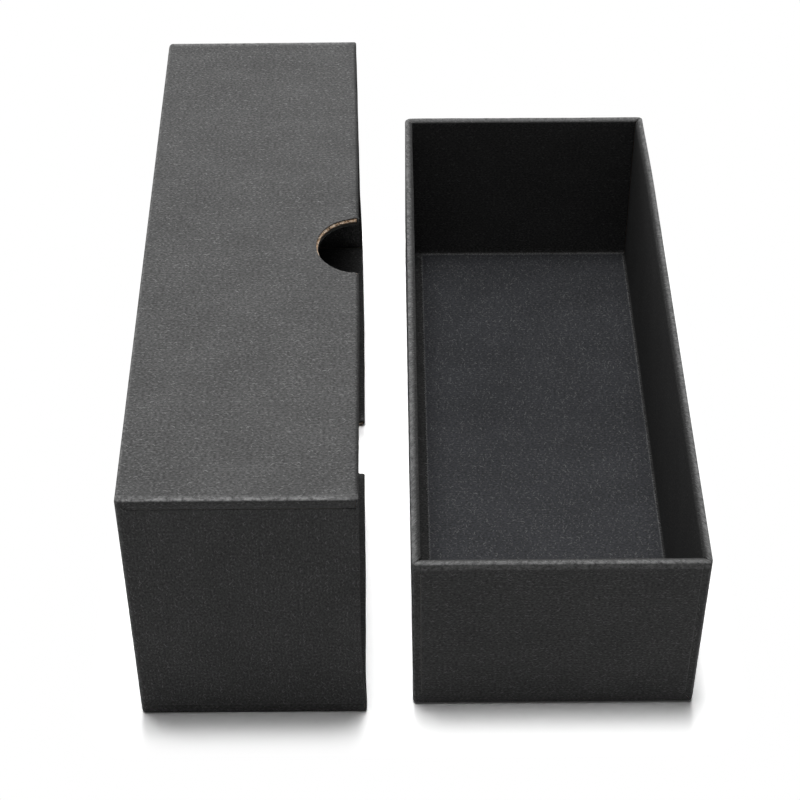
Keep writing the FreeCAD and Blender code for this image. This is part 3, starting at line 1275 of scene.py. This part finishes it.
def liner_mesh(half, corner_radius, seed):
    low, high = half.local_box(liner_node[half.name])
    middle, size = (low + high) / 2, (high - low) / 2 - 0.02
    edge_steps = np.array([0.0, 0.12, 0.3, 0.5, 0.8, 1.2, 2.0, 3.5])
    x, y = np.meshgrid(*(crowded(reach, edge_steps, 0.45) for reach in size[:2]))
    flat = round_corners(np.stack([x, y], -1), size[:2] - corner_radius)
    random = np.random.default_rng(seed)
    to_edge = np.minimum(size[0] - np.abs(x), size[1] - np.abs(y))
    ragged = random.standard_normal((*x.shape, 2)).clip(-1.5, 1.5) * torn_depth
    on_edge = smooth(1 - to_edge / 0.3)[..., None]
    inwards = -np.sign(flat) * np.abs(ragged) * on_edge
    height = 0.03 + 0.02 * slow_waves(x, y, seed, (21, 37, 55))
    if half is tray:
        lifted = smooth(1 - np.abs(y + 42) / 34) * smooth(1 - (size[0] - x) / 4)
        height = height + lift_height * lifted
    top = high[2] + height - 0.05 * smooth(1 - to_edge / 0.35)
    points = np.concatenate([flat + inwards + middle[:2], top[..., None]], -1)
    sheet = Sheet()
    sheet.patch(points, np.stack([x, y], -1) + 200.0)
    mesh = sheet.make_mesh(half.name + "_liner")
    write_number(mesh, "fold", smooth(1 - to_edge / 0.5).ravel())
    return mesh


for half, radius, seed in ((tray, 0.9, 21), (cover, 0.8, 22)):
    cut = apply_modifiers(liner_mesh(half, radius, seed),
                          ("SOLIDIFY", {"thickness": liner_thickness, "offset": -1}))
    finish_piece(half.name + "_liner", half, cut, liner_paper,
                 [liner_node[half.name]])

# %% [markdown]
# ## The grey board
#
# The board isn't one surface with a rule for its folds, it is five plates that lean on
# each other, and the same plate five times over is work for Geometry Nodes. A small group
# makes one plate from a cube: it crowds the points of the cube towards its edges and then
# draws them onto a small radius, because cut board has soft, crushed edges. A second
# group places the five plates by the sizes of the half and cuts the notches. They are cut
# wider than in the paper, because the rough edge inside them is a piece of its own.

# %% Build the node group for one plate
def hand_over(group, result, geometry, material):
    """The last steps of a tree: real geometry, with its material."""
    real = add_node(group, "GeometryNodeRealizeInstances", _0=geometry)
    finish = add_node(group, "GeometryNodeSetMaterial", Geometry=real.outputs[0],
                      Material=material)
    connect(finish.outputs[0], result.inputs["Geometry"])


def build_plate_group():
    group, value, result = new_group(
        "greyboard_plate", "GeometryNodeTree",
        [("Size", VECTOR, None), ("Middle", VECTOR, None), ("Softness", FLOAT, 0.4)],
        [("Plate", FACES)])

    def calc(operation, *values):
        return vector_math(group, operation, *values)

    softness = value["Softness"]
    half_size = calc("MULTIPLY", value["Size"], (0.5, 0.5, 0.5))
    counts = calc("MAXIMUM", half_size, (8, 8, 8))
    count_x, count_y, count_z = split_vector(group, counts)
    cube = add_node(group, "GeometryNodeMeshCube", Size=value["Size"], Vertices_X=count_x,
                    Vertices_Y=count_y, Vertices_Z=count_z)
    share = calc("DIVIDE", add_node(group, "GeometryNodeInputPosition").outputs[0], half_size)
    edge_zone = calc("DIVIDE", (6, 6, 6), counts)
    flat_share = calc("SUBTRACT", (1, 1, 1), edge_zone)
    magnitude = calc("ABSOLUTE", share)
    core = calc("SUBTRACT", half_size, join_vector(group, softness, softness, softness))
    in_core = calc("DIVIDE", calc("MINIMUM", magnitude, flat_share), flat_share)
    past_core = calc("DIVIDE", calc("MAXIMUM", calc("SUBTRACT", magnitude, flat_share),
                                    (0, 0, 0)), edge_zone)
    sign = calc("SIGN", share)
    base = calc("MULTIPLY", sign, calc("MULTIPLY", in_core, core))
    outwards = calc("NORMALIZE", calc("MULTIPLY", sign, past_core))
    rounding = vector_math(group, "SCALE", outwards, Scale=softness)
    moved = calc("ADD", calc("ADD", base, rounding), value["Middle"])
    plate = add_node(group, "GeometryNodeSetPosition", Geometry=cube.outputs["Mesh"],
                     Position=moved)
    connect(plate.outputs[0], result.inputs["Plate"])
    return group


plate_group = build_plate_group()
print(plate_group.name, "has", len(plate_group.nodes), "nodes")

# %% Build the node group for the five plates
def build_shell_group():
    group, value, result = new_group(
        "greyboard_shell", "GeometryNodeTree",
        [("Width", FLOAT, 70.0), ("Length", FLOAT, 165.0), ("Depth", FLOAT, 50.0),
         ("Cover Gap", FLOAT, 0.4), ("Board", FLOAT, 1.3), ("Softness", FLOAT, 0.4),
         ("Notched", "NodeSocketBool", False), ("Notch Radius", FLOAT, 10.5),
         ("Material", "NodeSocketMaterial", None)],
        [("Geometry", FACES)])
    joined = add_node(group, "GeometryNodeJoinGeometry")
    gap, thick = value["Cover Gap"], value["Board"]
    panel_top = gap + thick
    height = value["Depth"] - gap - panel_top
    middle_height = panel_top + height * 0.5
    length = value["Length"] - gap * 2.0
    width = value["Width"] - gap * 2.0
    across = (width - thick) * 0.5
    along = (length - thick) * 0.5
    plates = [((width, length, thick), (0.0, 0.0, gap + thick * 0.5))]
    for sign in (1.0, -1.0):
        plates.append(((thick, length, height), (across * sign, 0.0, middle_height)))
        plates.append(((width - thick * 2.0, thick, height), (0.0, along * sign, middle_height)))
    for size, middle in plates:
        plate = add_node(group, "GeometryNodeGroup", {"node_tree": plate_group},
                         Size=join_vector(group, *size), Middle=join_vector(group, *middle),
                         Softness=value["Softness"])
        connect(plate.outputs[0], joined.inputs[0])
    bar = add_node(group, "GeometryNodeMeshCylinder", Vertices=96, Radius=value["Notch Radius"],
                   Depth=value["Width"] * 1.3)
    laid = add_node(group, "GeometryNodeTransform", Geometry=bar.outputs["Mesh"],
                    Translation=join_vector(group, 0.0, 0.0, value["Depth"]),
                    Rotation=(0, math.pi / 2, 0))
    cut = add_node(group, "GeometryNodeMeshBoolean",
                   {"operation": "DIFFERENCE", "solver": "EXACT"},
                   _0=joined.outputs[0], _1=laid.outputs[0])
    chosen = add_node(group, "GeometryNodeSwitch", {"input_type": "GEOMETRY"},
                      _0=value["Notched"], _1=joined.outputs[0], _2=cut.outputs["Mesh"])
    hand_over(group, result, chosen.outputs[0], value["Material"])
    return group


def grow_mesh(group, start_mesh=None, **values):
    """Runs a node group as a modifier, and hands back the plain mesh that it makes."""
    holder = put_in_scene("bench", start_mesh or bpy.data.meshes.new("empty_bench"))
    modifier = holder.modifiers.new(group.name, "NODES")
    modifier.node_group = group
    identifiers = {item.name: item.identifier for item in group.interface.items_tree
                   if item.item_type == "SOCKET" and item.in_out == "INPUT"}
    for name, value in values.items():
        modifier[identifiers[name.replace("_", " ")]] = value
    holder.update_tag()
    depsgraph = bpy.context.evaluated_depsgraph_get()
    mesh = bpy.data.meshes.new_from_object(holder.evaluated_get(depsgraph), depsgraph=depsgraph)
    bpy.data.objects.remove(holder)
    return mesh


shell_group = build_shell_group()
print(shell_group.name, "has", len(shell_group.nodes), "nodes")

# %% Cut and place the boards of both halves
tape_thickness = 0.11
glue_line = 0.04
inner_air = 0.02
board_gap = paper + tape_thickness + glue_line
visual_board = wall - paper - inner_air - board_gap
notch_room = 1.0

for half in (tray, cover):
    shell = grow_mesh(shell_group, Width=half.width, Length=half.length, Depth=half.depth,
                      Cover_Gap=board_gap, Board=visual_board, Softness=0.6,
                      Notched=half is cover, Notch_Radius=notch_radius + notch_room,
                      Material=greyboard)
    finish_piece(half.name + "_greyboard", half, shell, greyboard,
                 half_nodes(half, "_board"))

# %% [markdown]
# ## The corner tapes
#
# Before the paper goes on, a strip of gummed tape holds each standing corner together. It
# is hidden, but its edge shows through the black paper on the end of the cover as a faint
# line, so it has its real size and place. It follows the same soft corner as the
# paper, a quarter of a millimetre further in, and its long edges are torn from a roll.

# %% Stick the tape round the corners
torn_tape_depth = 0.08


def corner_tapes(half, seed):
    random = np.random.default_rng(seed)
    low, high = half.local_box(half_nodes(half, "_corner_stay")[0])
    heights = np.linspace(low[2], high[2], 26)
    reach = high[0] - low[0]
    offsets = np.array([0.0, 0.16, 0.33, 0.5, 0.66, 0.85, 1.5, 3.0, 5.0, 7.5, 9.2, reach])
    around = np.concatenate([-offsets[:0:-1], offsets])
    sheet = Sheet()
    for side in LONG_WALLS:
        extent = wall_reach(half, side)[1]
        for end in (1, -1):
            along, height = np.meshgrid(extent + around, heights)
            torn = torn_tape_depth * random.standard_normal(len(heights)).clip(-1.5, 1.5)
            along[:, 0] += torn
            along[:, -1] += torn[::-1]
            points = wall_point(half, side, along * end, paper + 0.015, height)
            flat = np.stack([along, height], -1)
            sheet.patch(points, flat, flipped=end < 0)
    return sheet.make_mesh(half.name + "_corner_tapes")


for half, seed in ((tray, 31), (cover, 32)):
    tapes = apply_modifiers(corner_tapes(half, seed),
                            ("SOLIDIFY", {"thickness": tape_thickness, "offset": -1}))
    finish_piece(half.name + "_corner_tapes", half, tapes, stay_tape,
                 half_nodes(half, "_corner_stay"))

# %% [markdown]
# ## The cut edge of the notch
#
# Inside the notches the punch has gone through the pulp, and the board shows as a rough tan
# band. The band is a long block bent round the notch. Geometry Nodes bend it, push its
# skin in and out with noise that is stretched along the cut, and let it lean inwards where
# the punch crushed the board, by the same slope as the cutter of the paper has.

# %% Build the node group for the cut edge
def build_cut_edge_group():
    group, value, result = new_group(
        "cut_board_edge", "GeometryNodeTree",
        [("Notch Radius", FLOAT, 10.0), ("Band Thickness", FLOAT, 0.5), ("Board", FLOAT, 1.5),
         ("Inset", FLOAT, 1.0), ("Reach", FLOAT, 35.0), ("Rim Height", FLOAT, 50.0),
         ("Upper Drift", FLOAT, 0.0), ("Lower Drift", FLOAT, 0.0), ("Slope", FLOAT, 0.3),
         ("Sloped Share", FLOAT, 0.5), ("Arc Share", FLOAT, 0.965), ("Roughness", FLOAT, 0.08),
         ("Seed", FLOAT, 0.0), ("Material", "NodeSocketMaterial", None)],
        [("Geometry", FACES)])
    joined = add_node(group, "GeometryNodeJoinGeometry")
    for sign, drift in ((1.0, "Lower Drift"), (-1.0, "Upper Drift")):
        size = join_vector(group, value["Board"], math.pi, value["Band Thickness"])
        block = add_node(group, "GeometryNodeMeshCube", Size=size, Vertices_X=12,
                         Vertices_Y=220, Vertices_Z=3)
        here = add_node(group, "GeometryNodeInputPosition").outputs[0]
        x, y, z = split_vector(group, here)
        noise_place = join_vector(group, x * 4.0, y * value["Notch Radius"],
                                  value["Seed"] * sign)
        torn = noise(group, noise_place, 0.9, 4.0, 0.7) - 0.5
        ragged = (torn * (value["Roughness"] * 4.0)).calc("MAXIMUM", -0.03)
        radius = value["Notch Radius"] + (z + value["Band Thickness"] * 0.5) + ragged
        depth_share = 0.5 - x / value["Board"]
        sloped = depth_share.calc("DIVIDE", value["Sloped Share"], clamp=True)
        radius = radius - sloped * value["Slope"]
        turn = y * value["Arc Share"] - math.pi / 2
        moved = join_vector(group, (value["Reach"] - (value["Inset"] - x)) * sign,
                            turn.calc("COSINE") * radius * sign + value[drift],
                            value["Rim Height"] + turn.calc("SINE") * radius)
        bent = add_node(group, "GeometryNodeSetPosition", Geometry=block.outputs["Mesh"],
                        Position=moved)
        connect(bent.outputs[0], joined.inputs[0])
    hand_over(group, result, joined.outputs[0], value["Material"])
    return group


cut_edge_group = build_cut_edge_group()
print(cut_edge_group.name, "has", len(cut_edge_group.nodes), "nodes")

# %% [markdown]
# Cut pulp is brighter than the face of the board, with streaks along its layers, pale
# crumbs and dark holes. Past the crushed part, deeper in the cut, the material turns nearly
# black. It tells the place from the height in the scene, because the cover lies on its long
# wall and the notches look up and down.

# %% Make the material of the cut edge and bend the band
band_board = board - 0.15


def cut_pulp_material():
    material, tree, shader = new_material("cut_pulp")
    place = object_place(tree)
    along_layers = vector_math(tree, "MULTIPLY", place, (1.2, 1.2, 4.5))
    streaks = noise(tree, along_layers, 0.9, 3.0, 0.6)
    crumbs = noise(tree, place, 2.4, 2.0)
    x, y, height = split_vector(tree, place)
    from_middle = (height - cover.width / 2).calc("ABSOLUTE")
    colour = (0.30, 0.17, 0.09, 1)
    for mask, light in ((ramp(tree, streaks, 0.38, 0.62), (0.74, 0.54, 0.37, 1)),
                        (ramp(tree, crumbs, 0.55, 0.65), (0.86, 0.76, 0.64, 1)),
                        (ramp(tree, crumbs, 0.44, 0.36), (0.07, 0.04, 0.02, 1)),
                        (ramp(tree, from_middle, slope_end, slope_end - 0.3),
                         (0.03, 0.025, 0.02, 1))):
        colour = tint(tree, mask, colour, light)
    connect(colour, shader.inputs["Base Color"])
    add_bump(tree, shader, streaks, 0.8, 0.0003)
    shader.inputs["Roughness"].default_value = 0.9
    return material


cut_pulp = cut_pulp_material()
band = grow_mesh(cut_edge_group, Notch_Radius=notch_radius + 0.03, Band_Thickness=0.5,
                 Board=band_board, Inset=wall / 2 - 0.05, Reach=cover.width / 2,
                 Rim_Height=cover.depth, Roughness=0.09, Seed=3.0, Slope=cut_slope,
                 Sloped_Share=sloped_depth / band_board, Upper_Drift=upper_notch_drift,
                 Lower_Drift=lower_notch_drift, Material=cut_pulp)
band_points = read_points(band)
print("cut edge from", band_points.min(0).round(2), "to", band_points.max(0).round(2))

# %% [markdown]
# ## Torn fibres
#
# Wherever the paper was cut or torn, short pale fibres stand out of its edge. They are far
# too thin to be seen one by one from afar, but together they are the light fuzzy lines
# along the liner and round the notches. A guide line runs where they grow. Geometry Nodes
# walk along it, and at every step they put one bent hair there, with a random turn, size
# and small offset. The seed is fixed, so every run grows the same fibres.

# %% Build the node group for the fibres
def build_torn_fibre_group():
    group, value, result = new_group(
        "torn_fibres", "GeometryNodeTree",
        [("Guide", FACES, None), ("Step", FLOAT, 0.8), ("Fibre Length", FLOAT, 0.7),
         ("Fibre Radius", FLOAT, 0.03), ("Stray", FLOAT, 0.1), ("Seed", "NodeSocketInt", 1),
         ("Material", "NodeSocketMaterial", None)],
        [("Geometry", FACES)])
    line = add_node(group, "GeometryNodeMeshToCurve", Mesh=value["Guide"])
    walked = add_node(group, "GeometryNodeCurveToPoints", {"mode": "LENGTH"},
                      Curve=line.outputs[0], Length=value["Step"])

    def random_vector(low, high, shift):
        node = add_node(group, "FunctionNodeRandomValue", {"data_type": "FLOAT_VECTOR"},
                        Min=low, Max=high, Seed=value["Seed"] + shift)
        return node.outputs["Value"]

    stray = vector_math(group, "SCALE", random_vector((-1, -1, -0.15), (1, 1, 0.35), 0),
                        Scale=value["Stray"])
    scattered = add_node(group, "GeometryNodeSetPosition", Geometry=walked.outputs["Points"],
                         Offset=stray)
    reach = value["Fibre Length"] * 0.5
    hair = add_node(group, "GeometryNodeCurveQuadraticBezier", Resolution=5,
                    Start=join_vector(group, reach * -1.0, 0.0, 0.0),
                    Middle=join_vector(group, 0.0, value["Fibre Length"] * 0.35, 0.0),
                    End=join_vector(group, reach, 0.0, 0.0))
    skin = add_node(group, "GeometryNodeCurvePrimitiveCircle", Resolution=4,
                    Radius=value["Fibre Radius"])
    fibre = add_node(group, "GeometryNodeCurveToMesh", Curve=hair.outputs[0],
                     _1=skin.outputs["Curve"], Fill_Caps=True)
    scale = add_node(group, "FunctionNodeRandomValue", {"data_type": "FLOAT"},
                     _2=0.35, _3=1.3, Seed=value["Seed"] + 2).outputs[1]
    placed = add_node(group, "GeometryNodeInstanceOnPoints", Points=scattered.outputs[0],
                      Instance=fibre.outputs[0],
                      Rotation=random_vector((-0.3, -0.25, 0.0), (0.3, 0.25, 6.283), 1),
                      Scale=join_vector(group, scale, scale, 1.0))
    hand_over(group, result, placed.outputs[0], value["Material"])
    return group


torn_fibre_group = build_torn_fibre_group()
print(torn_fibre_group.name, "has", len(torn_fibre_group.nodes), "nodes")

# %% Make the fibre material
def loose_fibre_material():
    material, tree, shader = new_material("loose_fibre")
    place = add_node(tree, "ShaderNodeTexCoord").outputs["Object"]
    flecks = noise(tree, place, 900.0, 2.0)
    colour = tint(tree, flecks, (0.05, 0.05, 0.05, 1), (0.34, 0.34, 0.34, 1))
    connect(colour, shader.inputs["Base Color"])
    add_bump(tree, shader, flecks, 0.3, 0.00002)
    shader.inputs["Roughness"].default_value = 0.8
    return material


loose_fibre = loose_fibre_material()
print("material", loose_fibre.name)

# %% Grow the fibres along liners and notches
def guide_mesh(name, lines):
    """A mesh of open lines, each a list of points in millimetres."""
    points, edges = [], []
    for line in lines:
        first = len(points)
        points += [tuple(float(value) for value in point) for point in line]
        edges += [(first + number, first + number + 1) for number in range(len(line) - 1)]
    mesh = bpy.data.meshes.new(name)
    mesh.from_pydata(points, edges, [])
    return mesh


def liner_edges(half, inwards=0.05):
    low, high = half.local_box(liner_node[half.name])
    left, near = low[:2] + inwards
    right, far = high[:2] - inwards
    top = high[2] + 0.06
    corners = [(left, near, top), (right, near, top), (right, far, top), (left, far, top)]
    return list(zip(corners, corners[1:] + corners[:1]))


def notch_lines(inwards=0.30):
    """Guides just under the outer faces, so that no fibre stands out of the box."""
    radius = notch_radius + 0.02
    turns = np.radians(np.linspace(180, 360, 40))
    return [[(side * (cover.width / 2 - inwards), drift + radius * math.cos(turn),
              cover.depth + radius * math.sin(turn)) for turn in turns]
            for side, drift in ((1, lower_notch_drift), (-1, upper_notch_drift))]


far_edge = liner_edges(tray)[2]
fibre_plan = {
    "tray": [(liner_edges(tray), 0.75, 0.55, 41), ([far_edge], 0.4, 0.5, 42)],
    "cover": [(liner_edges(cover), 0.9, 0.55, 43), (notch_lines(), 0.35, 0.4, 44)],
}
for half in (tray, cover):
    grown = []
    for lines, step, fibre_length, seed in fibre_plan[half.name]:
        guide = guide_mesh(half.name + "_guide", lines)
        grown.append(grow_mesh(torn_fibre_group, guide, Step=step, Fibre_Length=fibre_length,
                               Fibre_Radius=0.032, Stray=0.10, Seed=seed, Material=loose_fibre))
    if half is cover:
        finish_piece("cover_notch_board_edge", half, band, cut_pulp, [])
    joined = bmesh.new()
    for mesh in grown:
        joined.from_mesh(mesh)
    fibres = bpy.data.meshes.new(half.name + "_torn_fibres")
    joined.to_mesh(fibres)
    joined.free()
    finish_piece(half.name + "_torn_fibres", half, fibres, loose_fibre, [])
